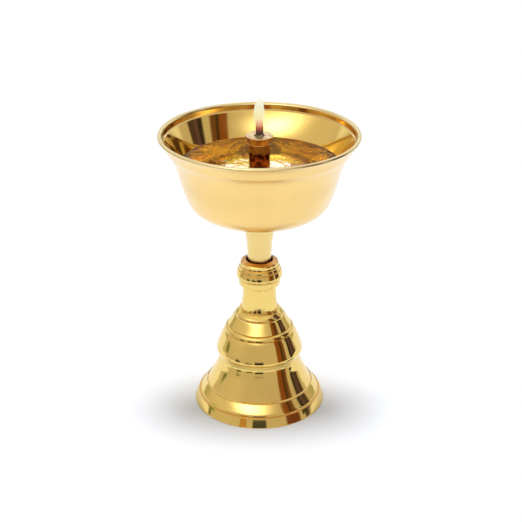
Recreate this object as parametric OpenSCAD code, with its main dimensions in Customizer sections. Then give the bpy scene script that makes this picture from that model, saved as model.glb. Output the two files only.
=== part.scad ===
// Pedestal oil lamp: a flared bowl on a tapered stem, screwed into a turned
// neck on a stepped, hollow bell foot, with a lift-off wick tube in the bowl.
// Millimetres, +Z up, origin at the centre of the foot's underside.

/* [Foot and bell] */
// Radius of the foot
foot_r = 29; // [27:0.5:31]
// Height of the foot band
foot_h = 4.1; // [3.5:0.1:4.2]
// Radius of the bell at its waist
waist_r = 18.15; // [17.5:0.05:18.4]
// Radius of the bell's shoulder edge
shoulder_r = 19; // [18.6:0.1:19.4]
// Wall thickness of the hollow bell
bell_wall = 2; // [1.6:0.1:2.4]

/* [Neck] */
// Radius of the neck at its slimmest
neck_r = 7.25; // [6.9:0.05:7.6]
// Radius of the knop under the socket
knop_r = 9.95; // [9.4:0.05:10.4]
// Radius of the socket that takes the stem
socket_r = 5.6; // [5.55:0.05:5.8]
// Depth of the socket
socket_depth = 7; // [6:0.5:8]

/* [Stem] */
// Radius of the stem at its foot
stem_foot_r = 4.95; // [4.7:0.05:5.1]
// Radius of the stem under its seat
stem_head_r = 6.2; // [5.8:0.1:6.6]
// Radius of the seat that carries the bowl
seat_r = 7.6; // [7:0.1:8]

/* [Bowl] */
// Radius of the rim
rim_r = 42; // [40:0.5:44]
// Height of the rim above the table
rim_z = 125; // [124:0.5:127]
// Wall thickness of the bowl
bowl_wall = 1.6; // [1.3:0.1:1.9]

/* [Wick tube] */
// Radius of the tube
tube_r = 4.4; // [4.2:0.1:4.8]
// Radius of the flange on top of the tube
flange_r = 5.8; // [5.4:0.1:6.4]
// Radius of the tube's bore
tube_bore_r = 2.9; // [2.7:0.1:3.1]
// Radius of the hole that the wick comes out of
wick_hole_r = 2.1; // [2.1:0.05:2.4]
// Number of oil ports round the tube
port_count = 4; // [2:1:6]

/* [Wick] */
// Radius of the cotton wick
wick_r = 1.75; // [1.5:0.05:1.75]
// Height of the wick's tip above the table
wick_tip_z = 130.3; // [128:0.1:132]

/* [Hidden] */
$fn = 96;
eps = 0.01;

// Heights along the axis, from the table up
waist_z = 21.2;
shoulder_z = 25.4;
crown_z = 41;
bell_top_z = 45;
neck_top_z = 68;
socket_floor_z = neck_top_z - socket_depth;
stem_top_z = 86;
bowl_seat_z = 86.6;
bowl_floor_z = 88.4;

// Screw joints. A thread is a plain cylinder at its outer radius.
spigot_r = 4;
spigot_bottom_z = 32.5;
spigot_hole_r = 4.1;
stud_r = 3;
stud_bottom_z = 55.5;
stud_top_z = 69.5;
stud_bore_bottom_z = 53;
stud_bore_top_z = 70;
thread_gap = 0.05;
chamfer = 0.6;

// Washers, nut, gasket and seal
base_washer_t = 1.4;
base_washer_r = 8;
nut_h = 5;
nut_corner_r = 7.5;
nut_sides = 6;
socket_washer_t = 0.9;
socket_washer_r = 5.2;
socket_washer_hole_r = 3.3;
gasket_r = 7.4;
gasket_hole_r = 2.7;
seal_t = 0.6;
seal_r = 5.6;

// Peg screw: shank in the stem, head on the bowl's floor, peg up into the tube
shank_r = 2.5;
shank_bottom_z = 76.5;
shank_bore_bottom_z = 76;
bowl_hole_r = 2.6;
screw_head_r = 5;
screw_head_h = 2;
peg_r = tube_bore_r - 0.08;
peg_h = 9;
slot_w = 0.9;
slot_depth = 1.2;
seal_top_z = bowl_floor_z + seal_t;
head_top_z = seal_top_z + screw_head_h;
peg_top_z = head_top_z + peg_h;

// Wick tube
tube_foot_r = 6;
tube_foot_h = 2;
flange_top_z = rim_z - 1;
flange_edge_h = 0.7;
flare_h = 2.4;
flange_web_h = 1.6;
port_r = 1.1;
port_z = 103;

// Wick: full width inside the tube, burnt thin above it
wick_shoulder_z = 125.2;
wick_neck_z = 127;
wick_neck_r = 1.4;
wick_end_r = 1;

// Points of a quadratic curve from a to c that bends towards b
function curve(a, b, c, steps = 10) =
    [for (i = [0 : steps]) let (t = i / steps)
        (1 - t) * (1 - t) * a + 2 * t * (1 - t) * b + t * t * c];

// Points of a round bead with centre c and radius r, from angle a0 to a1
function bead(c, r, a0, a1, steps = 8) =
    [for (i = [0 : steps]) let (a = a0 + (a1 - a0) * i / steps)
        c + r * [cos(a), sin(a)]];

// The bell's outside, from the table up to its top
bell_outside = concat(
    [[foot_r - 0.5, 0]],
    bead([foot_r - 0.6, 0.8], 0.6, -30, 20, 4),
    [[foot_r - 0.6, foot_h - 0.5], [foot_r - 1, foot_h], [foot_r - 1.8, foot_h]],
    curve([foot_r - 2, foot_h + 0.2], [25, 6.2], [23.3, 8.6], 6),
    bead([23, 9], 0.45, -30, 60, 4),
    curve([22.9, 9.5], [waist_r, 17.6], [waist_r, waist_z], 12),
    curve([waist_r, waist_z], [waist_r, 23.8], [shoulder_r - 0.1, shoulder_z - 0.2], 6),
    curve([shoulder_r, shoulder_z], [17.7, 30.6], [15.4, 34.5], 10),
    [[15.1, 34.7], [15.1, 34.95], [13.95, 36.8], [13.7, 36.95], [13.8, 37.1]],
    [[10.95, 41.7], [10.4, 41.9]],
    curve([10.2, 42], [10, 42.3], [10.2, 42.6], 4),
    bead([9.6, 43.5], 0.8, -30, 70, 6),
    [[8.8, 44.6], [8.6, bell_top_z]]
);

// The bell's inside, from its crown down to the table
bell_inside = concat(
    [[9.4, crown_z], [13, 35]],
    curve([14, 33], [16, 29.4], [shoulder_r - bell_wall, shoulder_z - 1], 6),
    curve([waist_r - bell_wall, waist_z], [waist_r - bell_wall, 17.6], [20.5, 10], 8),
    [[foot_r - 4.6, 4.6], [foot_r - 3.2, 1.2], [foot_r - 2.9, 0]]
);

// The neck's outside, from the bell's top up to the socket's mouth
neck_outside = concat(
    [[8.3, bell_top_z]],
    curve([8.2, 45.3], [7.8, 46.2], [7.6, 48], 5),
    curve([7.6, 48], [neck_r, 51], [neck_r, 53.4], 6),
    curve([neck_r, 53.4], [7.5, 55.4], [8.9, 56.4], 6),
    bead([8.3, 57.5], 0.9, -45, 45, 6),
    [[9.1, 59.2]],
    bead([knop_r - 1.3, 61.2], 1.3, -60, 60, 8),
    [[9.1, 62.9], [9.2, 63.4], [9.3, 63.8], [8.9, 64.4]],
    curve([8.7, 64.6], [8.15, 65], [8.2, 65.8], 5),
    bead([7.3, 67.1], 0.85, 0, 80, 6),
    [[socket_r + 0.6, neck_top_z], [socket_r, neck_top_z - 0.5]]
);

// The bowl's outside, from its seat up to the rim
bowl_outside = concat(
    [[0, bowl_seat_z], [8.5, bowl_seat_z]],
    curve([8.5, bowl_seat_z], [18.5, 87.7], [25.2, 91.5], 10),
    curve([25.2, 91.5], [29.2, 94.2], [30.8, 98], 8),
    curve([30.8, 98], [33.4, 105.6], [35.2, 113], 8),
    curve([35.2, 113], [36.2, 115.8], [38.2, 118.2], 6),
    [[38.7, 118.7]],
    curve([39, 119.2], [rim_r - 1.3, 122.6], [rim_r - 0.3, rim_z - 1], 5),
    bead([rim_r - 0.7, rim_z - 0.7], 0.7, 0, 90, 5)
);

// The bowl's inside, from the rim down to its floor
bowl_inside = concat(
    [[rim_r - bowl_wall, rim_z], [rim_r - bowl_wall - 0.4, rim_z - 0.4]],
    curve([rim_r - bowl_wall - 0.6, rim_z - 0.8], [39, 123], [38, 121.7], 4),
    curve([38, 121.7], [34.9, 116], [33.5, 112], 6),
    curve([33.5, 112], [31.7, 105.6], [29.2, 98.6], 8),
    curve([29.2, 98.6], [27.6, 95.4], [24.4, 93.2], 8),
    curve([24.4, 93.2], [17, 89.3], [9, bowl_floor_z], 8),
    [[0, bowl_floor_z]]
);

// The stem's outside, from its foot in the socket up to the bowl's seat
stem_outside = concat(
    [[stem_foot_r - 0.4, socket_floor_z + socket_washer_t]],
    [[stem_foot_r, socket_floor_z + socket_washer_t + 0.4], [stem_foot_r, 67.4]],
    curve([stem_foot_r, 67.4], [5.35, 73], [5.7, 77.5], 6),
    curve([5.7, 77.5], [5.95, 80.2], [stem_head_r, 82.2], 5),
    curve([stem_head_r, 82.2], [6.4, 84.2], [seat_r, 85], 5),
    [[seat_r, stem_top_z]]
);

module turned(outline) {
    rotate_extrude() polygon(outline);
}

module bore(radius, bottom, top) {
    translate([0, 0, bottom]) cylinder(r = radius, h = top - bottom);
}

module ring(outer_r, inner_r, bottom, height) {
    difference() {
        bore(outer_r, bottom, bottom + height);
        bore(inner_r, bottom - eps, bottom + height + eps);
    }
}

module bell_base() {
    color("goldenrod")
    difference() {
        turned(concat(bell_outside, [[0, bell_top_z], [0, crown_z]], bell_inside));
        bore(spigot_hole_r, crown_z - 1, bell_top_z + 1);
    }
}

module neck_column() {
    color("gold")
    difference() {
        turned(concat(
            [[0, spigot_bottom_z], [spigot_r - chamfer, spigot_bottom_z]],
            [[spigot_r, spigot_bottom_z + chamfer], [spigot_r, bell_top_z]],
            neck_outside,
            [[socket_r, socket_floor_z], [0, socket_floor_z]]
        ));
        bore(stud_r + thread_gap, stud_bore_bottom_z, socket_floor_z + eps);
    }
}

module base_washer() {
    color("khaki")
    ring(base_washer_r, spigot_hole_r, crown_z - base_washer_t, base_washer_t);
}

module base_nut() {
    nut_bottom_z = crown_z - base_washer_t - nut_h;
    color("darkgoldenrod")
    difference() {
        intersection() {
            translate([0, 0, nut_bottom_z]) cylinder(r = nut_corner_r, h = nut_h, $fn = nut_sides);
            turned([
                [0, nut_bottom_z], [nut_corner_r - 1, nut_bottom_z],
                [nut_corner_r + eps, nut_bottom_z + chamfer],
                [nut_corner_r + eps, nut_bottom_z + nut_h], [0, nut_bottom_z + nut_h]
            ]);
        }
        bore(spigot_r + thread_gap, nut_bottom_z - 1, nut_bottom_z + nut_h + 1);
    }
}

module socket_washer() {
    color("saddlebrown")
    ring(socket_washer_r, socket_washer_hole_r, socket_floor_z, socket_washer_t);
}

module stem() {
    color("goldenrod")
    difference() {
        turned(concat([[0, socket_floor_z + socket_washer_t]], stem_outside, [[0, stem_top_z]]));
        bore(stud_r, socket_floor_z, stud_bore_top_z);
        bore(shank_r, shank_bore_bottom_z, stem_top_z + 1);
    }
}

module stem_stud() {
    color("darkkhaki")
    turned([
        [0, stud_bottom_z], [stud_r - chamfer, stud_bottom_z], [stud_r, stud_bottom_z + chamfer],
        [stud_r, stud_top_z - chamfer], [stud_r - chamfer, stud_top_z], [0, stud_top_z]
    ]);
}

module bowl() {
    color("gold")
    difference() {
        turned(concat(bowl_outside, bowl_inside));
        bore(bowl_hole_r, bowl_seat_z - 1, bowl_floor_z + 1);
    }
}

module bowl_gasket() {
    color("dimgray")
    ring(gasket_r, gasket_hole_r, stem_top_z, bowl_seat_z - stem_top_z);
}

module peg_screw() {
    color("darkkhaki")
    difference() {
        turned([
            [0, shank_bottom_z], [shank_r - chamfer, shank_bottom_z],
            [shank_r, shank_bottom_z + chamfer], [shank_r, seal_top_z],
            [screw_head_r, seal_top_z], [screw_head_r, head_top_z],
            [peg_r, head_top_z], [peg_r, peg_top_z - chamfer],
            [peg_r - chamfer, peg_top_z], [0, peg_top_z]
        ]);
        translate([-peg_r, -slot_w / 2, peg_top_z - slot_depth])
            cube([2 * peg_r, slot_w, slot_depth + 1]);
    }
}

module peg_seal() {
    color("dimgray")
    ring(seal_r, bowl_hole_r, bowl_floor_z, seal_t);
}

module wick_tube() {
    flare_top_z = flange_top_z - flange_edge_h;
    flare_bottom_z = flare_top_z - flare_h;
    color("peru")
    difference() {
        turned(concat(
            [[0, head_top_z], [tube_foot_r, head_top_z], [tube_foot_r, head_top_z + tube_foot_h - 0.4]],
            [[tube_foot_r - 0.4, head_top_z + tube_foot_h]],
            curve([tube_r + 0.6, head_top_z + tube_foot_h], [tube_r, head_top_z + tube_foot_h],
                  [tube_r, head_top_z + tube_foot_h + 1], 4),
            [[tube_r, flare_bottom_z - 0.7]],
            bead([tube_r - 0.1, flare_bottom_z - 0.35], 0.35, -80, 80, 5),
            curve([tube_r + 0.1, flare_bottom_z + 0.1], [tube_r + 0.5, flare_bottom_z + 1.2],
                  [flange_r - 0.1, flare_top_z], 5),
            [[flange_r, flare_top_z + 0.1], [flange_r, flange_top_z - 0.2], [flange_r - 0.2, flange_top_z]],
            [[0, flange_top_z]]
        ));
        bore(tube_bore_r, head_top_z - 1, flange_top_z - flange_web_h);
        bore(wick_hole_r, flange_top_z - flange_web_h - 1, flange_top_z + 1);
        for (i = [0 : port_count - 1])
            rotate([0, 0, 45 + 360 * i / port_count])
                translate([0, 0, port_z])
                    rotate([0, 90, 0]) cylinder(r = port_r, h = tube_r + 1);
    }
}

module wick() {
    color("ivory")
    turned(concat(
        [[0, peg_top_z], [wick_r - 0.2, peg_top_z], [wick_r, peg_top_z + 0.3]],
        [[wick_r, wick_shoulder_z], [wick_neck_r, wick_neck_z]],
        curve([wick_neck_r, wick_neck_z], [wick_end_r + 0.2, wick_tip_z], [0, wick_tip_z], 6)
    ));
}

bell_base();
neck_column();
base_washer();
base_nut();
socket_washer();
stem();
stem_stud();
bowl();
bowl_gasket();
peg_screw();
peg_seal();
wick_tube();
wick();
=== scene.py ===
"""Looks of the pedestal oil lamp: turned and polished brass, oil, a twisted wick and its flame."""

import math

import bpy
import numpy as np
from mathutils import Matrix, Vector


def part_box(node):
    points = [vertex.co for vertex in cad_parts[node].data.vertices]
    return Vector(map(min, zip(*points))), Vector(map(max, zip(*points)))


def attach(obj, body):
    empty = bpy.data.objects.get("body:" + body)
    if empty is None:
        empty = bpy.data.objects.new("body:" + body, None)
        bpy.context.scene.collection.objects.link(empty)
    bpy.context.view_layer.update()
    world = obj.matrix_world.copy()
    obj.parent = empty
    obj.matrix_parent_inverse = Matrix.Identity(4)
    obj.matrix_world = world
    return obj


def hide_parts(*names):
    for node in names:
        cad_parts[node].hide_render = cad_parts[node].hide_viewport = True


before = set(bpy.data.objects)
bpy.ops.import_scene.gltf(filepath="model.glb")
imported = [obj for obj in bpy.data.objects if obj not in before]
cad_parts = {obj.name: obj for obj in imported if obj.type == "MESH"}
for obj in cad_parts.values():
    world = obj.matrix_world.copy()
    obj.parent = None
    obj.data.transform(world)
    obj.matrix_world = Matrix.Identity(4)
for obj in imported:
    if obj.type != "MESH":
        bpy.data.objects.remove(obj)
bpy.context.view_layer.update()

MM = 0.001
STEPS_ROUND = 240          # facets round a big turned piece
STEPS_ROUND_SMALL = 96     # the same for small hardware: a multiple of twelve, for the nut's corners
STEPS_TUBE = 144           # and for the wick tube
STEPS_WICK = 72            # and for the wick
STEPS_FILLET = 5           # segments in each rounded corner
CREASE = 32                # degrees: a sharper fold than this stays hard


# ---------------------------------------------------------------- outlines: (radius, height), millimetres

def heights(node):
    """Radius, bottom and top of a CAD node in millimetres."""
    low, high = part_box(node)
    return high.x / MM, low.z / MM, high.z / MM


def smooth(points, spacing=0.3):
    """Points along the natural cubic curve through the given points."""
    p = np.array(points, float)
    t = np.concatenate([[0], np.cumsum(np.hypot(*np.diff(p, axis=0).T))])
    h = np.diff(t)[:, None]
    slopes = np.diff(p, axis=0) / h
    matrix, side = np.eye(len(t)), np.zeros_like(p)
    for i in range(1, len(t) - 1):
        matrix[i, i - 1:i + 2] = h[i - 1, 0], 2 * (h[i - 1, 0] + h[i, 0]), h[i, 0]
        side[i] = 6 * (slopes[i] - slopes[i - 1])
    bend = np.linalg.solve(matrix, side)
    s = np.linspace(0, t[-1], max(3, int(t[-1] / spacing) + 1))
    i = np.clip(np.searchsorted(t, s, side="right") - 1, 0, len(t) - 2)
    a, b, w = (t[i + 1] - s)[:, None], (s - t[i])[:, None], h[i]
    curve = (bend[i] * a ** 3 + bend[i + 1] * b ** 3) / (6 * w)
    curve += (p[i] / w - bend[i] * w / 6) * a + (p[i + 1] / w - bend[i + 1] * w / 6) * b
    return [tuple(q) for q in curve]


def corners(points):
    """A line through (radius, height, fillet) points, each corner rounded by its fillet radius."""
    line = []
    for i, (r, z, fillet) in enumerate(points):
        if fillet == 0 or i in (0, len(points) - 1):
            line.append((r, z))
            continue
        here = Vector((r, z))
        back = Vector(points[i - 1][:2]) - here
        ahead = Vector(points[i + 1][:2]) - here
        turn = math.pi - back.angle(ahead)
        reach = min(fillet * math.tan(turn / 2), back.length * 0.49, ahead.length * 0.49)
        start, end = here + back.normalized() * reach, here + ahead.normalized() * reach
        for k in range(STEPS_FILLET + 1):
            t = k / STEPS_FILLET
            line.append(tuple(start * (1 - t) ** 2 + here * 2 * t * (1 - t) + end * t * t))
    return line


# ---------------------------------------------------------------- meshes

def finished_mesh(name, verts, faces, face_materials, materials, crease=CREASE):
    """A smooth-shaded mesh object with its hard edges kept hard."""
    mesh = bpy.data.meshes.new(name)
    mesh.from_pydata(verts, [], faces)
    for m in materials:
        mesh.materials.append(m)
    mesh.polygons.foreach_set("material_index", face_materials)
    mesh.validate()
    mesh.shade_smooth()
    mesh.set_sharp_from_angle(angle=math.radians(crease))
    piece = bpy.data.objects.new(name, mesh)
    bpy.context.scene.collection.objects.link(piece)
    return piece


def filled(points, gap=0.5):
    """The same line with points added so that no two neighbours are further apart than the gap."""
    line = [points[0]]
    for a, b in zip(points, points[1:]):
        count = max(1, math.ceil(math.dist(a, b) / gap))
        across, up = b[0] - a[0], b[1] - a[1]
        line += [(a[0] + across * k / count, a[1] + up * k / count) for k in range(1, count + 1)]
    return line


def turn(name, stretches, materials, steps=STEPS_ROUND, shape=None, closed=False, crease=CREASE):
    """Turns an outline about the lamp's axis. Each stretch is (points, material index).

    shape(radius, height, angle) may change the radius at each angle. A closed outline is a ring
    section; an open one starts and ends on the axis.
    """
    line, index = [], []
    for points, material in stretches:
        for q in filled(points):
            if line and math.dist(q, line[-1]) < 1e-4:
                continue
            line.append(q)
            index.append(material)
    if closed and math.dist(line[0], line[-1]) < 1e-4:
        line.pop()
    verts, rows = [], []
    for r, z in line:
        if r < 1e-6:
            rows.append([len(verts)] * steps)
            verts.append((0, 0, z * MM))
            continue
        rows.append(list(range(len(verts), len(verts) + steps)))
        for k in range(steps):
            a = 2 * math.pi * k / steps
            radius = shape(r, z, a) if shape else r
            verts.append((radius * math.cos(a) * MM, radius * math.sin(a) * MM, z * MM))
    faces, face_materials = [], []
    pairs = len(rows) if closed else len(rows) - 1
    for i in range(pairs):
        low, high = rows[i], rows[(i + 1) % len(rows)]
        material = index[(i + 1) % len(rows)]
        for k in range(steps):
            n = (k + 1) % steps
            corner = [low[k], low[n], high[n], high[k]]
            face = [v for j, v in enumerate(corner) if v not in corner[:j]]
            faces.append(face)
            face_materials.append(material)
    return finished_mesh(name, verts, faces, face_materials, materials, crease)


def cut(piece, cutters):
    """Cuts closed meshes out of a piece and keeps the result as its mesh."""
    for cutter in cutters:
        boolean = piece.modifiers.new("cut", "BOOLEAN")
        boolean.operation = "DIFFERENCE"
        boolean.solver = "EXACT"
        boolean.object = cutter
    graph = bpy.context.evaluated_depsgraph_get()
    mesh = bpy.data.meshes.new_from_object(piece.evaluated_get(graph))
    piece.modifiers.clear()
    piece.data = mesh
    mesh.set_sharp_from_angle(angle=math.radians(CREASE))
    for cutter in cutters:
        bpy.data.objects.remove(cutter)


def bar(name, section, length, height, azimuth=0):
    """A closed straight bar to cut with, level across the axis: millimetres, and degrees of azimuth."""
    a = math.radians(azimuth)
    ahead = Vector((math.cos(a), math.sin(a), 0))
    aside = Vector((-math.sin(a), math.cos(a), 0))
    verts = []
    for end in (-length / 2, length / 2):
        verts += [(ahead * end + aside * x + Vector((0, 0, height + z))) * MM for x, z in section]
    count = len(section)
    faces = [tuple(reversed(range(count))), tuple(range(count, 2 * count))]
    faces += [(k, (k + 1) % count, (k + 1) % count + count, k + count) for k in range(count)]
    return finished_mesh(name, verts, faces, [0] * len(faces), [])


def place(piece, body, slot, *nodes):
    """Says which body a piece moves with and hides the CAD nodes it stands for. The slot is not used."""
    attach(piece, body)
    if nodes:
        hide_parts(*nodes)
    return piece


# ---------------------------------------------------------------- materials

class Shader:
    """A Principled material with short calls for adding nodes."""

    def __init__(self, name, **sockets):
        self.material = bpy.data.materials.new(name)
        self.material.use_nodes = True
        self.tree = self.material.node_tree
        self.surface = self.tree.nodes["Principled BSDF"]
        self.output = self.tree.nodes["Material Output"]
        for socket, value in sockets.items():
            self.surface.inputs[socket.replace("_", " ")].default_value = value
        coordinates = self.add("ShaderNodeTexCoord")
        self.point = coordinates.outputs["Object"]
        split = self.add("ShaderNodeSeparateXYZ", Vector=self.point)
        self.height = split.outputs["Z"]

    def add(self, kind, settings=None, **inputs):
        """Adds a node; i0, i1 and i2 are its sockets by number, and any other name is a socket's own."""
        node = self.tree.nodes.new(kind)
        for key, value in (settings or {}).items():
            setattr(node, key, value)
        for key, value in inputs.items():
            numbered = key[1:].isdigit()
            socket = node.inputs[int(key[1:]) if numbered else key.replace("_", " ")]
            if isinstance(value, bpy.types.NodeSocket):
                self.tree.links.new(value, socket)
            else:
                socket.default_value = value
        return node

    def math(self, operation, a, b=0.0, c=0.0):
        return self.add("ShaderNodeMath", {"operation": operation}, i0=a, i1=b, i2=c).outputs[0]

    def span(self, value, low, high, out_low=0.0, out_high=1.0):
        """Maps low..high to out_low..out_high, held at the ends."""
        node = self.add("ShaderNodeMapRange", Value=value, From_Min=low, From_Max=high,
                        To_Min=out_low, To_Max=out_high)
        return node.outputs[0]

    def noise(self, scale, detail=4, rough=0.55, point=None, distortion=0.0):
        node = self.add("ShaderNodeTexNoise", Vector=point or self.point, Scale=scale, Detail=detail,
                        Roughness=rough, Distortion=distortion)
        return node.outputs["Fac"]

    def mix(self, factor, a, b):
        """A colour between two colours or colour sockets."""
        node = self.add("ShaderNodeMix", {"data_type": "RGBA"}, Factor=factor)
        for socket, value in ((node.inputs[6], a), (node.inputs[7], b)):
            if isinstance(value, bpy.types.NodeSocket):
                self.tree.links.new(value, socket)
            else:
                socket.default_value = (*value, 1)
        return node.outputs[2]

    def lathe_point(self, across, along):
        """A point that is the same all round the axis, so that noise on it makes turning lines."""
        flat = self.add("ShaderNodeVectorMath", {"operation": "MULTIPLY"}, i0=self.point, i1=(1, 1, 0))
        radius = self.add("ShaderNodeVectorMath", {"operation": "LENGTH"}, i0=flat.outputs[0])
        r = self.math("MULTIPLY", radius.outputs["Value"], across)
        z = self.math("MULTIPLY", self.height, along)
        return self.add("ShaderNodeCombineXYZ", X=r, Y=0.0, Z=z).outputs[0]

    def bump(self, height, strength, distance, normal=None):
        node = self.add("ShaderNodeBump", Height=height, Strength=strength, Distance=distance)
        if normal:
            self.tree.links.new(normal, node.inputs["Normal"])
        return node.outputs[0]

    def set(self, socket, value):
        """Links a value to one of the surface's sockets."""
        self.tree.links.new(value, self.surface.inputs[socket])


BRASS = (0.88, 0.645, 0.196)
BRASS_DEEP = (0.70, 0.42, 0.13)
ABOVE_ALL = 200            # a height above the whole lamp, in millimetres


def polished_brass(name, roughness=(0.035, 0.11), color=BRASS, deep=BRASS_DEEP, grooves=()):
    """Mirror-polished turned brass: fine turning lines and wiping marks.

    It is darker in its grooves, which are (height, width) in millimetres.
    """
    s = Shader(name, Metallic=1.0)
    marks = s.noise(90, detail=6, rough=0.65)
    patches = s.noise(28, detail=3)
    dark_tone = s.span(patches, 0.42, 0.72, 0.0, 0.30)
    for height, width in grooves:
        away = s.math("ABSOLUTE", s.math("SUBTRACT", s.height, height * MM))
        dark_tone = s.math("MAXIMUM", dark_tone, s.span(away, 0.0, width * MM, 0.85, 0.0))
    s.set("Base Color", s.mix(dark_tone, color, deep))
    s.set("Roughness", s.math("MULTIPLY_ADD", dark_tone, 0.18, s.span(marks, 0.35, 0.75, *roughness)))
    turning = s.noise(1.0, detail=5, rough=0.7, point=s.lathe_point(5200, 5200))
    wave = s.noise(46, detail=2)
    s.set("Normal", s.bump(turning, 0.05, 0.00002, s.bump(wave, 0.12, 0.0002)))
    return s.material


def oiled_brass(name):
    """Brass under the lamp oil: bright and brown in waves, painted light and shade for the oil's ripples.
    """
    s = Shader(name, Metallic=1.0, Roughness=0.10)
    waves = s.noise(70, detail=3, rough=0.55, distortion=2.2)
    # Painted light and shade: bright and brown waves stand in for the oil's ripples.
    ripple_light_and_shade = s.span(waves, 0.46, 0.64)
    s.set("Base Color", s.mix(ripple_light_and_shade, (1.0, 0.83, 0.26), (0.66, 0.36, 0.07)))
    s.set("Normal", s.bump(waves, 0.55, 0.0012))
    return s.material


def satin_brass(name, roughness=(0.24, 0.34), color=(1.0, 0.68, 0.192), painted_shade_below=None):
    """Satin-polished brass with soft circular brush lines and faint clouds, under a clear lacquer."""
    s = Shader(name, Metallic=1.0, Coat_Weight=1.0, Coat_Roughness=0.25, Coat_IOR=1.75)
    clouds = s.noise(35, detail=4)
    surface = s.mix(s.span(clouds, 0.35, 0.75, 0.0, 0.25), color, BRASS_DEEP)
    # Painted shade: below the given height the colour fades to near-black, where the piece stands down in
    # a socket.
    if painted_shade_below:
        painted_shade = s.span(s.height, (painted_shade_below - 0.9) * MM, (painted_shade_below + 0.1) * MM, 1.0, 0.0)
        surface = s.mix(painted_shade, surface, (0.085, 0.032, 0.010))
    s.set("Base Color", surface)
    brush = s.noise(1.0, detail=6, rough=0.75, point=s.lathe_point(3800, 3800))
    s.set("Roughness", s.math("MULTIPLY_ADD", brush, 0.06, s.span(clouds, 0.3, 0.8, *roughness)))
    s.set("Normal", s.bump(brush, 0.10, 0.00003))
    return s.material


def tarnished_brass(name, pale_above, dark_below=None):
    """Heat-tarnished brass: amber, pale and matt above one height (mm), dark red-brown in streaks and
    glossier below another.
    """
    s = Shader(name, Metallic=1.0)
    blotches = s.noise(420, detail=5, rough=0.65)
    amber = s.mix(s.span(blotches, 0.3, 0.7), (0.86, 0.47, 0.18), (0.50, 0.24, 0.08))
    gloss = s.span(blotches, 0.3, 0.7, 0.14, 0.28)
    if dark_below:
        # Below the second height the brass turns dark red-brown in streaks, and a little glossier.
        streak_noise = s.noise(330, detail=4, rough=0.6, distortion=1.2)
        edge = s.math("MULTIPLY_ADD", streak_noise, 0.003, s.height)
        dark_band = s.span(edge, (dark_below + 1.2) * MM, (dark_below + 2.2) * MM, 1.0, 0.0)
        dark_tone = s.mix(s.span(streak_noise, 0.50, 0.64), (0.09, 0.020, 0.010), (0.74, 0.20, 0.07))
        amber = s.mix(dark_band, amber, dark_tone)
        gloss = s.math("MULTIPLY_ADD", dark_band, -0.1, gloss)
    pale = s.span(s.height, (pale_above - 0.25) * MM, pale_above * MM)
    top = s.mix(s.span(blotches, 0.35, 0.65), (0.95, 0.74, 0.44), (0.66, 0.48, 0.27))
    s.set("Base Color", s.mix(pale, amber, top))
    s.set("Roughness", s.math("MULTIPLY_ADD", pale, 0.24, gloss))
    turning = s.noise(1.0, detail=5, rough=0.7, point=s.lathe_point(4200, 4200))
    s.set("Normal", s.bump(turning, 0.15, 0.00003, s.bump(blotches, 0.10, 0.00005)))
    return s.material


def dull_brass(name):
    """Plain turned brass hardware, left as machined and dulled by handling."""
    s = Shader(name, Metallic=1.0)
    stains = s.noise(260, detail=5)
    s.set("Base Color", s.mix(s.span(stains, 0.35, 0.7), (0.66, 0.47, 0.20), (0.40, 0.27, 0.11)))
    turning = s.noise(1.0, detail=5, rough=0.7, point=s.lathe_point(3000, 3000))
    s.set("Roughness", s.span(turning, 0.3, 0.7, 0.26, 0.42))
    s.set("Normal", s.bump(turning, 0.35, 0.00004))
    return s.material


def socket_shade_brass(name):
    """Brass inside a socket, never polished and dull, painted dark maroon-brown as painted shade."""
    s = Shader(name, Metallic=0.7)
    stains = s.noise(300, detail=5)
    s.set("Base Color", s.mix(s.span(stains, 0.35, 0.7), (0.16, 0.05, 0.02), (0.07, 0.02, 0.01)))
    s.set("Roughness", s.span(stains, 0.3, 0.7, 0.4, 0.6))
    s.set("Normal", s.bump(stains, 0.3, 0.00005))
    return s.material


def rubber(name):
    """Black rubber with a fine matt grain."""
    s = Shader(name, Base_Color=(0.02, 0.018, 0.017, 1))
    grain = s.noise(1500, detail=3)
    s.set("Roughness", s.span(grain, 0.3, 0.7, 0.55, 0.75))
    s.set("Normal", s.bump(grain, 0.3, 0.00004))
    return s.material


def fibre(name):
    """Vulcanised fibre: dark red-brown with a fine pressed grain."""
    s = Shader(name)
    grain = s.noise(900, detail=5, rough=0.7)
    s.set("Base Color", s.mix(s.span(grain, 0.3, 0.7), (0.16, 0.045, 0.025), (0.08, 0.022, 0.014)))
    s.set("Roughness", s.span(grain, 0.3, 0.7, 0.5, 0.7))
    s.set("Normal", s.bump(grain, 0.4, 0.00005))
    return s.material


def lamp_oil(name):
    """Clear amber oil: refracting, with colour from its depth, and faint ripples on top."""
    s = Shader(name, Base_Color=(1.0, 0.97, 0.88, 1), Roughness=0.0, IOR=1.47, Transmission_Weight=1.0)
    ripples = s.noise(110, detail=2, rough=0.4, distortion=1.6)
    s.set("Normal", s.bump(ripples, 0.34, 0.0006))
    tint = s.add("ShaderNodeVolumeAbsorption", Color=(0.90, 0.80, 0.12, 1), Density=34.0)
    s.tree.links.new(tint.outputs[0], s.output.inputs["Volume"])
    return s.material


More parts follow.
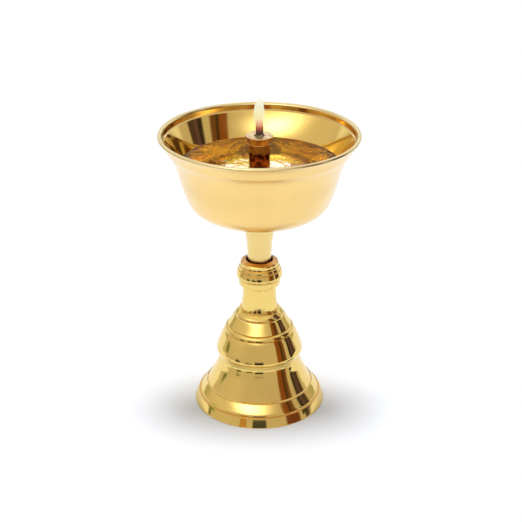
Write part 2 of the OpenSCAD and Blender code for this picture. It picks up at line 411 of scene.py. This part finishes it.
def wick_cotton(name, bottom, top):
    """Twisted cotton: cream below, scorched black from a height (mm) up, and glowing towards its tip."""
    s = Shader(name, Roughness=0.85, Specular_IOR_Level=0.1)
    strands = s.noise(2600, detail=4, rough=0.7)
    cotton = s.mix(s.span(strands, 0.3, 0.7), (0.80, 0.70, 0.46), (0.62, 0.50, 0.28))
    scorch = s.span(s.height, bottom * MM, (bottom + 1.2) * MM)
    s.set("Base Color", s.mix(scorch, cotton, (0.03, 0.006, 0.005)))
    ragged = s.math("MULTIPLY_ADD", strands, 0.0012, s.height)
    ember = s.span(ragged, (top - 3.6) * MM, (top + 0.6) * MM)
    s.set("Emission Color", s.mix(ember, (0.10, 0.006, 0.003), (0.95, 0.42, 0.20)))
    s.set("Emission Strength", s.span(ragged, (top - 5.0) * MM, (top - 0.5) * MM, 0.0, 0.9))
    s.set("Normal", s.bump(strands, 0.6, 0.0001))
    return s.material


def flame_glow(name, levels):
    """Glowing gas. Each level gives a height (mm), a colour and an opacity; they blend between levels."""
    s = Shader(name, Base_Color=(0, 0, 0, 1), Roughness=1.0, IOR=1.0, Specular_IOR_Level=0.0)
    _, first_paint, first_cover = levels[0]
    color = s.mix(0.0, first_paint, first_paint)
    opacity = s.math("ADD", 0.0, first_cover)
    for (low, _, _), (high, paint, cover) in zip(levels, levels[1:]):
        rise = s.span(s.height, low * MM, high * MM)
        color = s.mix(rise, color, paint)
        opacity = s.math("MULTIPLY_ADD", rise, s.math("SUBTRACT", cover, opacity), opacity)
    wisps = s.noise(500, detail=2)
    s.set("Emission Color", color)
    s.set("Emission Strength", s.span(wisps, 0.2, 0.8, 0.92, 1.08))
    s.set("Alpha", opacity)
    return s.material


def plain_floor(name):
    """Matt white with hardly any grain, a little cool against the warm light off the brass."""
    s = Shader(name, Roughness=0.9, Specular_IOR_Level=0.1)
    grain = s.noise(30, detail=3)
    s.set("Base Color", s.mix(s.span(grain, 0.3, 0.7), (0.875, 0.90, 0.95), (0.855, 0.88, 0.93)))
    return s.material


# ---------------------------------------------------------------- the pedestal

def make_bell():
    """The hollow bell: a turned and polished outside over a dull inside."""
    foot, _, top = heights("bell_base")
    wall = 2.0
    band = corners([
        (foot - 2.9, 0, 0), (foot, 0.1, 0.2), (foot - 1.55, 3.6, 0.25), (foot - 1.8, 4.15, 0.15),
        (26.4, 4.15, 0)])
    ovolo = smooth([
        (26.4, 4.15), (26.2, 4.75), (25.8, 5.4), (25.2, 6.25), (24.55, 7.15), (23.95, 7.95),
        (23.5, 8.55)])
    foot_bead = corners([(23.5, 8.55, 0), (23.58, 8.95, 0.2), (22.95, 9.25, 0)])
    flare = smooth([
        (22.95, 9.25), (21.48, 12), (20.46, 14), (19.5, 16), (18.65, 18), (18.0, 20), (17.68, 21.0),
        (17.5, 21.65)])
    waist = smooth([
        (17.5, 21.65), (17.48, 22.0), (17.56, 22.5), (17.75, 23.3), (17.96, 24.1), (18.2, 24.75)], 0.2)
    edge = corners([(18.2, 24.75, 0), (18.4, 24.98, 0.1), (19.0, 25.2, 0.25), (18.88, 26.0, 0.3)])
    shoulder = smooth([(18.88, 26.0), (18.27, 28), (17.5, 30), (16.66, 32), (15.75, 33.9), (15.35, 34.6)])
    lower_groove = corners([(15.35, 34.6, 0), (14.95, 34.7, 0.06), (15.2, 34.9, 0.06)])
    bead = smooth([(15.2, 34.9), (15.0, 35.6), (14.65, 36.2), (14.0, 36.7)], 0.15)
    upper_groove = corners([(14.0, 36.7, 0), (13.62, 36.8, 0.06), (13.82, 37.05, 0.06)])
    cone = smooth([(13.82, 37.05), (12.95, 38.5), (12.0, 40.1), (11.1, 41.6)])
    collar = corners([
        (11.1, 41.6, 0), (10.95, 41.78, 0.12), (10.62, 41.95, 0.1), (10.4, 42.75, 0.15),
        (9.95, 43.3, 0.8), (9.2, 44.1, 0.3), (8.85, 44.4, 0.15), (8.62, top, 0.05), (5, top, 0),
        (4.1, top - 0.2, 0), (4.1, top - 4, 0)])
    inside = corners([(4.1, top - 4, 0), (9.4, top - 4, 1.0), (13.0, 35, 0)])
    inside += smooth([
        (13.0, 35), (14.9, 31), (16.4, 27.6), (16.9, 25), (18.15 - wall, 21), (18.9 - wall, 16),
        (20.5, 10), (24.3, 4.6), (25.5, 2.0), (foot - 2.9, 0)], 0.8)
    outside = band + ovolo + foot_bead + flare + waist + edge + shoulder
    outside += lower_groove + bead + upper_groove + cone + collar
    material = polished_brass("foot_polish", grooves=(
        (4.15, 0.5), (9.0, 0.5), (34.75, 0.4), (36.85, 0.4), (42.1, 0.5), (44.7, 0.5)))
    dull = dull_brass("foot_cast_inside")
    piece = turn("bell_foot", [(outside, 0), (inside, 1)], [material, dull], closed=True)
    return place(piece, "pedestal", "foot_brass", "bell_base")


def make_neck():
    """The turned neck: a spigot into the bell, a waisted column, a ringed crest and the stem's socket."""
    _, bottom, top = heights("neck_column")
    crown = heights("bell_base")[2]
    floor = heights("socket_washer")[1]
    spigot_r, socket_r, stud_hole_r, stud_hole_bottom = 4.0, 5.6, 3.05, 53
    spigot = corners([
        (0, bottom, 0), (3.4, bottom, 0.1), (spigot_r, bottom + 0.6, 0.1), (spigot_r, crown, 0),
        (8.0, crown, 0)])
    column = smooth([
        (8.0, 45.0), (7.91, 45.5), (7.82, 46.1), (7.73, 46.8), (7.62, 47.7), (7.48, 49.2), (7.36, 50.8),
        (7.27, 52.4), (7.25, 53.8), (7.28, 55.2), (7.4, 56.2)])
    crest = corners([
        (7.4, 56.2, 0), (7.7, 56.6, 0.15), (8.85, 56.75, 0.3), (9.02, 57.5, 0.4), (9.05, 59.6, 0.1),
        (9.0, 59.85, 0.1), (9.45, 60.05, 0.15)])
    crest += smooth([
        (9.45, 60.05), (9.78, 60.5), (9.9, 61.1), (9.83, 61.75), (9.68, 62.4), (9.5, 63.1)], 0.2)
    rings = corners([
        (9.5, 63.1, 0), (9.38, 63.45, 0.1), (8.9, 63.58, 0.1), (8.95, 63.95, 0.12), (8.7, 64.95, 0.2),
        (8.2, 65.35, 0.2), (8.08, 66.0, 0.6), (8.2, 66.85, 0.3), (7.9, 67.25, 0.15)])
    annulus = [(7.9, 67.25), (5.95, top)]
    socket = corners([
        (5.95, top, 0), (socket_r, top - 0.45, 0.1), (socket_r, floor, 0), (stud_hole_r, floor, 0),
        (stud_hole_r, stud_hole_bottom, 0), (0, stud_hole_bottom, 0)])
    material = polished_brass("neck_polish", grooves=((45.2, 0.6), (59.3, 0.3), (63.6, 0.5), (65.4, 0.5)))
    dull = dull_brass("neck_spigot")
    # The socket's inside is painted dark: painted shade in the recess.
    painted_shade = socket_shade_brass("neck_socket_painted_shade")
    tarnish = tarnished_brass("neck_top_tarnish", ABOVE_ALL)
    stretches = [(spigot, 1), (column, 0), (crest, 0), (rings, 0), (annulus, 3), (socket, 2)]
    piece = turn("neck_turned", stretches, [material, dull, painted_shade, tarnish])
    return place(piece, "pedestal", "neck_brass", "neck_column")


def make_base_washer(material):
    """The washer that the nut pulls against the crown from inside."""
    radius, bottom, top = heights("base_washer")
    hole = 4.1
    ring = [(hole, bottom), (radius - 0.2, bottom), (radius, bottom + 0.2), (radius, top - 0.2),
            (radius - 0.1, top), (hole, top), (hole, bottom)]
    piece = turn("washer_under_crown", [(ring, 0)], [material], STEPS_ROUND_SMALL, closed=True)
    return place(piece, "pedestal", "hardware_brass", "base_washer")


def make_base_nut(material):
    """The hexagon nut on the neck's spigot, with its lower corners chamfered."""
    corner_r, bottom, top = heights("base_nut")
    flat_r = corner_r * math.cos(math.pi / 6)
    hole, countersink, face_r = 4.05, 4.4, 6.4
    chamfer_height, chamfer_inset, chamfer_slope = 0.6, 0.9, 1.7

    def hexagon(r, z, angle):
        side = (angle + math.pi / 6) % (math.pi / 3) - math.pi / 6
        up = z - bottom
        limit = corner_r - chamfer_inset + chamfer_slope * up if up < chamfer_height else corner_r
        return min(flat_r / math.cos(side), limit) if r > flat_r - 0.2 else r

    line = [(hole, bottom + 0.4), (countersink, bottom), (face_r, bottom)]
    line += [(corner_r, bottom + chamfer_height * k / 6) for k in range(7)]
    line += [(corner_r, top - 0.1), (face_r, top), (countersink, top), (hole, top - 0.4),
             (hole, bottom + 0.4)]
    piece = turn("nut_under_crown", [(line, 0)], [material], STEPS_ROUND_SMALL, hexagon, closed=True)
    return place(piece, "pedestal", "hardware_brass", "base_nut")


# ---------------------------------------------------------------- the bowl and what holds it

def make_stem():
    """The tapered stem between the neck's socket and the bowl, with painted shade where it stands in the
    socket.
    """
    seat, bottom, top = heights("stem")
    foot = corners([(0, bottom, 0), (4.5, bottom, 0.15), (4.95, bottom + 0.5, 0.2), (4.97, 66.6, 0)])
    side = smooth([
        (4.97, 66.6), (5.02, 68.4), (5.16, 70.6), (5.33, 72.8), (5.44, 74.7), (5.6, 76.6), (5.9, 78.5),
        (6.16, 80.4), (6.35, 82.2), (6.7, 83.7), (seat - 0.1, 84.9)])
    head = corners([
        (seat - 0.1, 84.9, 0), (seat, 85.1, 0.1), (seat, top, 0.1), (2.5, top, 0), (0, top, 0)])
    neck_top = heights("neck_column")[2]
    material = satin_brass("stem_satin", (0.16, 0.24), (0.89, 0.65, 0.188), painted_shade_below=neck_top)
    # The stem's foot inside the socket is painted dark: painted shade.
    painted_shade = socket_shade_brass("stem_foot_painted_shade")
    piece = turn("stem_tapered", [(foot, 1), (side, 0), (head, 0)], [material, painted_shade])
    return place(piece, "bowl", "stem_brass", "stem")


def thread(pitch, depth, bottom, top):
    """A shape function that cuts a screw thread into a turned rod and fades it out at both ends."""
    def shape(r, z, angle):
        if r < 0.5 or not bottom < z < top:
            return r
        phase = ((z - bottom) / pitch - angle / (2 * math.pi)) % 1
        groove = 1 - abs(2 * phase - 1)
        fade = min(1, (z - bottom) / 0.4, (top - z) / 0.4)
        return r - depth * fade * min(1, max(0, 1.25 * groove - 0.12))
    return shape


def make_stud():
    """The M6 stud that screws the stem into the neck, chamfered at both ends."""
    radius, bottom, top = heights("stem_stud")
    chamfer, rise, pitch, depth = 0.6, 0.09, 1.0, 0.55
    straight = top - bottom - 2 * chamfer
    count = int(straight / rise)
    line = corners([(0, bottom, 0), (radius - chamfer, bottom, 0.05), (radius, bottom + chamfer, 0.05)])
    line += [(radius, bottom + chamfer + straight * k / count) for k in range(count + 1)]
    line += corners([(radius, top - chamfer, 0), (radius - chamfer, top, 0.05), (0, top, 0)])
    helix = thread(pitch, depth, bottom + 0.3, top - 0.3)
    material = dull_brass("stud_turned")
    piece = turn("stud_threaded", [(line, 0)], [material], STEPS_ROUND_SMALL, helix, crease=60)
    return place(piece, "bowl", "hardware_brass", "stem_stud")


def ring_piece(name, node, hole, body, slot, material):
    """A flat washer, gasket or seal with softened edges."""
    radius, bottom, top = heights(node)
    soft = (top - bottom) * 0.3
    ring = corners([
        (hole, bottom, 0), (radius, bottom, soft), (radius, top, soft), (hole, top, soft),
        (hole, bottom, soft)])
    piece = turn(name, [(ring, 0)], [material], STEPS_ROUND_SMALL, closed=True)
    return place(piece, body, slot, node)


# The bowl's inner wall, from the crease under the lip down to the floor; the oil fills it too
BOWL_WALL = [
    (39.2, 121.75), (38.05, 119.8), (37.1, 118.1), (35.5, 115), (34.1, 112), (32.8, 109), (31.5, 106),
    (30.3, 103), (29.2, 100.2), (28.3, 98.2), (27.2, 96.6), (25.6, 95.0), (23.3, 93.4), (19.2, 91.7),
    (14, 89.9), (9, 88.7), (6, 88.4)]

OIL_LEVEL = 111.1


def wall_at(height):
    """The point of the inner wall at a height."""
    wall = np.array(BOWL_WALL[::-1])
    return float(np.interp(height, wall[:, 1], wall[:, 0])), height


def make_bowl():
    """The spun bowl: satin outside, mirror-polished inside, with painted light and shade in waves below
    the oil's level.
    """
    rim, seat, top = heights("bowl")
    under = corners([(2.6, seat, 0), (8.4, seat, 0.15), (8.7, seat + 0.05, 0)])
    belly = smooth([
        (8.7, seat + 0.05), (12, 86.95), (16, 87.95), (20.5, 89.4), (24.6, 91.1), (27.5, 92.95),
        (29.25, 94.9), (30.3, 96.9), (31.1, 99.1), (32.1, 102), (33.2, 106), (34.25, 110), (35.3, 113.2),
        (36.2, 115.4), (37.2, 117.2), (38.2, 118.55)])
    lip = corners([(38.2, 118.55, 0), (38.55, 118.85, 0.1), (38.75, 119.15, 0.4)])
    lip += smooth([(38.75, 119.15), (39.5, 120.5), (40.3, 122.0), (41.1, 123.2), (41.6, 123.85)])
    rim_line = corners([
        (41.6, 123.85, 0), (rim, 124.2, 0.5), (rim - 0.35, top, 0.5), (rim - 1.5, top, 0.5),
        (39.95, 124.2, 0)])
    inner_lip = corners([
        (39.95, 124.2, 0), (39.75, 122.1, 0.1), (39.45, 121.92, 0.05), (39.2, 121.75, 0)])
    wall = smooth([q for q in BOWL_WALL if q[1] > OIL_LEVEL] + [wall_at(OIL_LEVEL)])
    bottom = smooth([wall_at(OIL_LEVEL)] + [q for q in BOWL_WALL if q[1] < OIL_LEVEL])
    floor = corners([(6, 88.4, 0), (2.6, 88.4, 0), (2.6, seat, 0)])
    outside = satin_brass("bowl_satin")
    inside = polished_brass("bowl_polish", roughness=(0.03, 0.08), grooves=((121.95, 0.3),))
    oiled = oiled_brass("bowl_oiled")
    # The lip's inner face is darker, more orange brass: painted shade under the rim.
    lip_painted_shade = polished_brass("bowl_lip_painted_shade", (0.05, 0.12), (0.66, 0.45, 0.17), (0.42, 0.22, 0.08))
    # The rim's brass is paler and creamier than the rest: a painted highlight along the rim.
    edge = polished_brass("bowl_edge_painted_highlight", (0.18, 0.30), (0.88, 0.72, 0.38), (0.70, 0.50, 0.22))
    stretches = [(under, 0), (belly, 0), (lip, 0), (rim_line, 3), (inner_lip, 4), (wall, 1), (bottom, 2),
                 (floor, 2)]
    piece = turn("bowl_spun", stretches, [outside, inside, oiled, edge, lip_painted_shade], closed=True)
    return place(piece, "bowl", "bowl_brass", "bowl")


def make_peg_screw():
    """The slotted screw that holds the bowl to the stem; the wick tube slides on its peg."""
    _, bottom, top = heights("peg_screw")
    head_bottom = heights("peg_seal")[2]
    head_top = heights("wick_tube")[1]
    shank_r, head_r, peg_r = 2.5, 5.0, 2.82
    line = corners([
        (0, bottom, 0), (1.9, bottom, 0.05), (shank_r, bottom + 0.6, 0.05), (shank_r, head_bottom, 0),
        (head_r, head_bottom, 0.15), (head_r, head_top, 0.3), (peg_r, head_top, 0.15), (peg_r, top, 0.4),
        (0, top, 0)])
    piece = turn("peg_turned", [(line, 0)], [dull_brass("peg_turned_brass")], STEPS_ROUND_SMALL)
    half_width, depth, length = 0.45, 1.2, 7
    slot = [(-half_width, -depth), (half_width, -depth), (half_width, depth), (-half_width, depth)]
    cut(piece, [bar("driver_slot", slot, length, top)])
    return place(piece, "bowl", "hardware_brass", "peg_screw")


def make_oil():
    """Oil up to a level in the bowl, with a small meniscus at the wall.

    Its surface runs flat to the axis, so that it is whole when the wick tube is lifted out.
    """
    level, climb, overlap = OIL_LEVEL, 0.3, 0.15
    wall = [(r + overlap, z - overlap) for r, z in smooth(BOWL_WALL) if z < level + climb]
    edge_r = wall[0][0]
    below = corners([(0, 88.2, 0), (5.9, 88.2, 0)]) + wall[::-1]
    surface = [(edge_r, level + climb)]
    for k in range(13):
        away = 3.2 * k / 12
        surface.append((edge_r - 0.25 - away, level + climb * math.exp(-away / 0.8)))
    surface += [(26, level), (0, level)]
    piece = turn("oil", [(below, 0), (surface, 0)], [lamp_oil("oil_amber")], crease=70)
    return place(piece, "bowl", "lamp_oil")


# ---------------------------------------------------------------- the wick tube, wick and flame

def make_wick_tube():
    """The open tube that holds the wick: a flared flange on top, crossed oil ports through its foot."""
    foot, bottom, top = heights("wick_tube")
    body = corners([
        (2.9, bottom, 0), (foot, bottom, 0.2), (foot, bottom + 2.0, 0.5), (4.42, bottom + 2.1, 0.7),
        (4.32, 120.1, 0.1), (4.55, 120.25, 0.12), (4.55, 120.5, 0.12), (4.4, 120.65, 0.1),
        (4.45, 120.8, 0)])
    flare = smooth([(4.45, 120.8), (4.75, 121.5), (5.15, 122.4), (5.55, 123.15)], 0.15)
    flange = corners([
        (5.55, 123.15, 0), (5.8, 123.3, 0.1), (5.82, 123.8, 0.2), (5.6, top, 0.2), (2.35, top, 0.2),
        (2.1, top - 0.3, 0.1), (2.1, top - 1.6, 0), (2.9, top - 1.8, 0), (2.9, bottom, 0)])
    material = tarnished_brass("tube_tarnish", top, OIL_LEVEL + 5.5)
    piece = turn("wick_tube_turned", [(body + flare + flange, 0)], [material], STEPS_TUBE, closed=True)
    port_radius, port_height, drill_length = 1.1, 103, 14
    turns = np.linspace(0, 2 * math.pi, 32, endpoint=False)
    port = [(port_radius * math.cos(t), port_radius * math.sin(t)) for t in turns]
    cut(piece, [bar(f"port_drill_{a}", port, drill_length, port_height, a) for a in (45, 135)])
    return place(piece, "wick_holder", "tube_brass", "wick_tube")


def make_wick():
    """Three cotton strands twisted together, drawn to a burnt tip."""
    radius, bottom, top = heights("wick")
    lay = 5.5                  # height of one full twist
    straight_top, row = 124.4, 0.25

    def strands(r, z, angle):
        lobe = abs(math.cos(1.5 * (angle - 2 * math.pi * z / lay)))
        return r * (0.80 + 0.20 * lobe) if r > 0.2 else r

    line = [(0, bottom), (radius - 0.25, bottom + 0.02)]
    line += [(radius, bottom + 0.3 + k * row) for k in range(int((straight_top - bottom) / row))]
    line += smooth([
        (radius, 124.5), (1.6, 125.2), (1.45, 126.4), (1.38, 127.6), (1.25, 128.8), (0.9, 129.7),
        (0.45, top - 0.1), (0, top)], 0.2)
    material = wick_cotton("wick_cotton", 123.5, top)
    piece = turn("wick_twisted", [(line, 0)], [material], STEPS_WICK, strands, crease=80)
    return place(piece, "wick", "wick_cotton", "wick")


def make_flame():
    """A tapering flame round the wick's tip and the small warm core inside it."""
    flange = heights("wick_tube")[2]
    mantle = smooth([
        (1.7, flange + 0.25), (2.3, flange + 1.3), (2.62, flange + 3.4), (2.62, flange + 5.6),
        (2.4, flange + 8.6), (1.95, flange + 12), (1.4, flange + 14.8), (0.8, flange + 17.1),
        (0.0, flange + 18.9)])
    core = smooth([
        (1.3, flange + 0.25), (1.48, flange + 1.5), (1.6, flange + 3.5), (1.6, flange + 5.5),
        (1.2, flange + 7.4), (0.0, flange + 8.8)])
    outer = flame_glow("flame_outer", [
        (flange, (0.98, 0.60, 0.40), 0.02), (flange + 4, (0.98, 0.70, 0.46), 0.09),
        (flange + 7.5, (0.88, 0.83, 0.44), 0.5), (flange + 12, (0.93, 0.93, 0.66), 0.72),
        (flange + 17, (0.98, 0.99, 0.92), 0.6)])
    inner = flame_glow("flame_inner", [
        (flange, (0.03, 0.002, 0.002), 0.93), (flange + 1.9, (0.07, 0.007, 0.004), 0.93),
        (flange + 3.4, (0.38, 0.06, 0.025), 0.88), (flange + 4.8, (0.82, 0.26, 0.13), 0.82),
        (flange + 6.2, (0.92, 0.50, 0.30), 0.65), (flange + 8.4, (0.92, 0.80, 0.5), 0.0)])

    def flicker(r, z, angle):
        return r * (1 + 0.05 * math.cos(angle - 0.4 - 0.25 * (z - flange)))

    for name, line, glow in (("flame_mantle", mantle, outer), ("flame_core", core, inner)):
        base = (0.0, line[0][1])
        piece = turn(name, [([base] + line, 0)], [glow], STEPS_ROUND_SMALL, flicker, crease=80)
        place(piece, "wick", "flame")


# ---------------------------------------------------------------- floor, light cards, lights and camera

def polar(radius, azimuth, z):
    """A point at a distance from the axis: azimuth 0 is towards the camera and 90 to its right."""
    a = math.radians(azimuth)
    return (radius * math.sin(a), -radius * math.cos(a), z)


def soft_step(x, low, high, width):
    """1 between low and high, falling to 0 over a width centred on each edge."""
    rise = min(1, max(0, (x - low) / width + 0.5))
    fall = min(1, max(0, (high - x) / width + 0.5))
    return rise * rise * (3 - 2 * rise) * fall * fall * (3 - 2 * fall)


# What the brass mirrors of the room: azimuths, heights above the horizon, edge softness and colour.
# The angles are in degrees.
WALL = (0.635, 0.573, 0.512)
ROOM = [
    ((-200, 200), (50, 100), 10, (0.90, 0.84, 0.74)),       # ceiling
    ((-120, -45), (12, 46), 40, (0.80, 0.72, 0.62)),        # lit wall beside the softbox
    ((47, 60.5), (-9, 47), 1.5, (0.26, 0.088, 0.022)),      # door
    ((60, 65), (-9, 47), 1.5, (0.045, 0.03, 0.015)),
    ((64.5, 73), (-9, 47), 1.5, (0.17, 0.075, 0.028)),
    ((84, 91.5), (-9, 42), 1.5, (0.03, 0.025, 0.02)),       # shelf
    ((91, 98), (-9, 42), 2, (0.135, 0.075, 0.11)),
    ((97, 106), (-9, 42), 2, (0.085, 0.052, 0.045)),
    ((-12, 10), (-9, 4.5), 1.5, (0.02, 0.02, 0.02)),        # things standing beyond the table's edge
    ((-36, -18), (-9, 2), 1.5, (0.05, 0.035, 0.02)),
    ((-62, -50), (-9, 1), 1.5, (0.06, 0.05, 0.03)),
    ((-101, -90), (-2, 5), 3, (0.20, 0.24, 0.10)),
    ((-200, -118), (-10, 14), 12, (0.50, 0.50, 0.34)),      # far side of the table
    ((118, 200), (-10, 14), 12, (0.50, 0.50, 0.34)),
    ((-200, -122), (14, 100), 8, (0.95, 0.95, 0.93)),       # white background
    ((122, 200), (14, 100), 8, (0.95, 0.95, 0.93)),
]
SOFTBOX = (-24, 39.5, 34, 6.8, (3.3, 3.3, 3.3))               # azimuth, height, half widths, added light


def room_color(azimuth, tilt):
    """Light arriving from one direction of the room."""
    color = np.array(WALL)
    for (a0, a1), (t0, t1), width, paint in ROOM:
        cover = soft_step(azimuth, a0, a1, width) * soft_step(tilt, t0, t1, width)
        color += (np.array(paint) - color) * cover
    a, t, across, along, glow = SOFTBOX
    away = ((azimuth - a) / across) ** 2 + ((tilt - t) / along) ** 2
    return color + np.array(glow) * math.exp(-away)


def light_sheet(name, rows):
    """A sheet that only mirroring and refracting surfaces show. Each row is a list of (point, colour)."""
    across = len(rows[0])
    verts = [point for row in rows for point, _ in row]
    colors = [value for row in rows for _, color in row for value in (*color, 1)]
    faces = [(i * across + k, i * across + k + 1, (i + 1) * across + k + 1, (i + 1) * across + k)
             for i in range(len(rows) - 1) for k in range(across - 1)]
    s = Shader(f"{name}_light", Base_Color=(0, 0, 0, 1), Emission_Strength=1.0, Specular_IOR_Level=0.0)
    s.set("Emission Color", s.add("ShaderNodeVertexColor", {"layer_name": "glow"}).outputs["Color"])
    sheet = finished_mesh(name, verts, faces, [0] * len(faces), [s.material])
    sheet.data.color_attributes.new("glow", "FLOAT_COLOR", "POINT").data.foreach_set("color", colors)
    sheet.visible_camera = sheet.visible_shadow = False
    sheet.visible_diffuse = sheet.visible_volume_scatter = False


DOME_RADIUS = 1.2
SHEET_LIFT = 0.0005        # the reflection sheets start just above the floor


def make_room():
    """The studio as the brass mirrors it: a painted dome, and the room below it past the table's edge."""
    dome = []
    for tilt in np.arange(0, 90, 1.0):
        flat = DOME_RADIUS * math.cos(math.radians(tilt))
        up = DOME_RADIUS * math.sin(math.radians(tilt)) + SHEET_LIFT
        dome.append([(polar(flat, a, up), room_color(a, tilt)) for a in np.arange(-180, 181, 1.0)])
    light_sheet("room_dome", dome)
    beyond = []
    turns = np.arange(-112, 113, 1.0)
    for reach in (0.20, 0.205, 0.25, 0.3, 0.4, 0.6, DOME_RADIUS):
        dip = -math.degrees(math.atan(0.02 / reach))
        beyond.append([(polar(reach, a, SHEET_LIFT), room_color(a, dip)) for a in turns])
    light_sheet("room_beyond_table", beyond)


# Small things standing round the foot, which its band mirrors: first and last azimuth in degrees, colour
THINGS_BY_FOOT = [
    (-78, -67, (0.30, 0.40, 0.12)), (-26, -17, (0.55, 0.30, 0.10)), (-9, 9, (0.075, 0.08, 0.075)),
    (37, 55, (0.18, 0.06, 0.03)), (63, 85, (0.05, 0.045, 0.03))]


def make_things_by_foot():
    """Low cards a little way out from the foot."""
    distance, levels = 0.058, (0.0045, 0.012)
    for i, (start, end, color) in enumerate(THINGS_BY_FOOT):
        rows = [[(polar(distance, a, z), color) for a in range(start, end + 1)] for z in levels]
        light_sheet(f"thing_by_foot_{i}", rows)


def make_glare():
    """Two small bright patches behind the lamp; only the oil mirrors them towards the camera."""
    behind, levels, glow = 0.12, (0.1535, 0.1605), (5.2, 5.0, 5.4)
    for side, (left, right) in {"left": (-16.5, -5.5), "right": (4.5, 14.0)}.items():
        rows = [[((x * MM, behind, z), glow) for x in (left, right)] for z in levels]
        light_sheet(f"glare_{side}", rows)


def make_overhead_light():
    """A broad soft light straight above the floor. It is shaded by one oval flag, and by nothing else."""
    data = bpy.data.lights.new("overhead", "SUN")
    data.energy = 1.9
    data.angle = math.radians(30)
    data.color = (1.0, 0.99, 0.97)
    light = bpy.data.objects.new("overhead", data)
    light.visible_glossy = light.visible_camera = False
    bpy.context.scene.collection.objects.link(light)
    flags = bpy.data.collections.new("flags")
    flags.objects.link(make_flag())
    light.light_linking.blocker_collection = flags


def make_flag():
    """An unseen oval card: its shadow is the flat soft oval that the lamp stands in."""
    half_width, half_depth, forward, height = 46 * MM, 21 * MM, 12 * MM, 60 * MM
    turns = np.linspace(0, 2 * math.pi, 64, endpoint=False)
    outline = [(half_width * math.cos(t), half_depth * math.sin(t) - forward, height) for t in turns]
    mesh = bpy.data.meshes.new("shadow_flag")
    mesh.from_pydata(outline, [], [list(range(len(outline)))])
    flag = bpy.data.objects.new("shadow_flag", mesh)
    flag.visible_camera = flag.visible_glossy = False
    flag.visible_diffuse = flag.visible_transmission = False
    bpy.context.scene.collection.objects.link(flag)
    return flag


def make_floor():
    """A wide plain floor."""
    mesh = bpy.data.meshes.new("floor")
    half = 6.0
    square = [(-half, -half, 0), (half, -half, 0), (half, half, 0), (-half, half, 0)]
    mesh.from_pydata(square, [], [(0, 1, 2, 3)])
    mesh.materials.append(plain_floor("floor_plain"))
    floor = bpy.data.objects.new("floor", mesh)
    bpy.context.scene.collection.objects.link(floor)


def make_world():
    """A soft cool-white sky for the light, and plain white for what the camera sees behind the lamp."""
    world = bpy.data.worlds.new("studio")
    world.use_nodes = True
    nodes, links = world.node_tree.nodes, world.node_tree.links
    soft = nodes["Background"]
    soft.inputs["Color"].default_value = (0.985, 0.995, 1.01, 1)
    soft.inputs["Strength"].default_value = 0.575
    backdrop = nodes.new("ShaderNodeBackground")
    backdrop.inputs["Color"].default_value = (1, 1, 1, 1)
    choose = nodes.new("ShaderNodeMixShader")
    links.new(nodes.new("ShaderNodeLightPath").outputs["Is Camera Ray"], choose.inputs[0])
    links.new(soft.outputs[0], choose.inputs[1])
    links.new(backdrop.outputs[0], choose.inputs[2])
    links.new(choose.outputs[0], nodes["World Output"].inputs["Surface"])
    bpy.context.scene.world = world


def make_camera():
    """A short telephoto view from a little above, as in a product photograph."""
    distance, height, tilt = 0.475, 0.2911, 64.72
    data = bpy.data.cameras.new("camera")
    data.lens, data.sensor_width = 84.1, 36
    data.shift_x = 0.003
    data.clip_start = 0.01
    camera = bpy.data.objects.new("camera", data)
    camera.location = (0, -distance, height)
    camera.rotation_euler = (math.radians(tilt), 0, 0)
    bpy.context.scene.collection.objects.link(camera)
    bpy.context.scene.camera = camera


make_camera()
make_floor()
make_world()
make_room()
make_things_by_foot()
make_glare()
make_overhead_light()

make_bell()
make_neck()
turned_hardware = dull_brass("hardware_turned")
make_base_washer(turned_hardware)
make_base_nut(turned_hardware)
ring_piece("washer_in_socket", "socket_washer", 3.3, "washer", "fibre_washer", fibre("fibre_red"))
make_stem()
make_stud()
make_bowl()
ring_piece("gasket_under_bowl", "bowl_gasket", 2.7, "bowl", "seal_rubber", rubber("rubber_gasket"))
ring_piece("seal_under_head", "peg_seal", 2.6, "bowl", "seal_rubber", rubber("rubber_seal"))
make_peg_screw()
make_oil()
make_wick_tube()
make_wick()
make_flame()

scene = bpy.context.scene
scene.view_settings.view_transform = "Standard"
scene.cycles.max_bounces = 24
scene.cycles.glossy_bounces = 10
scene.cycles.transmission_bounces = 16
scene.cycles.transparent_max_bounces = 16
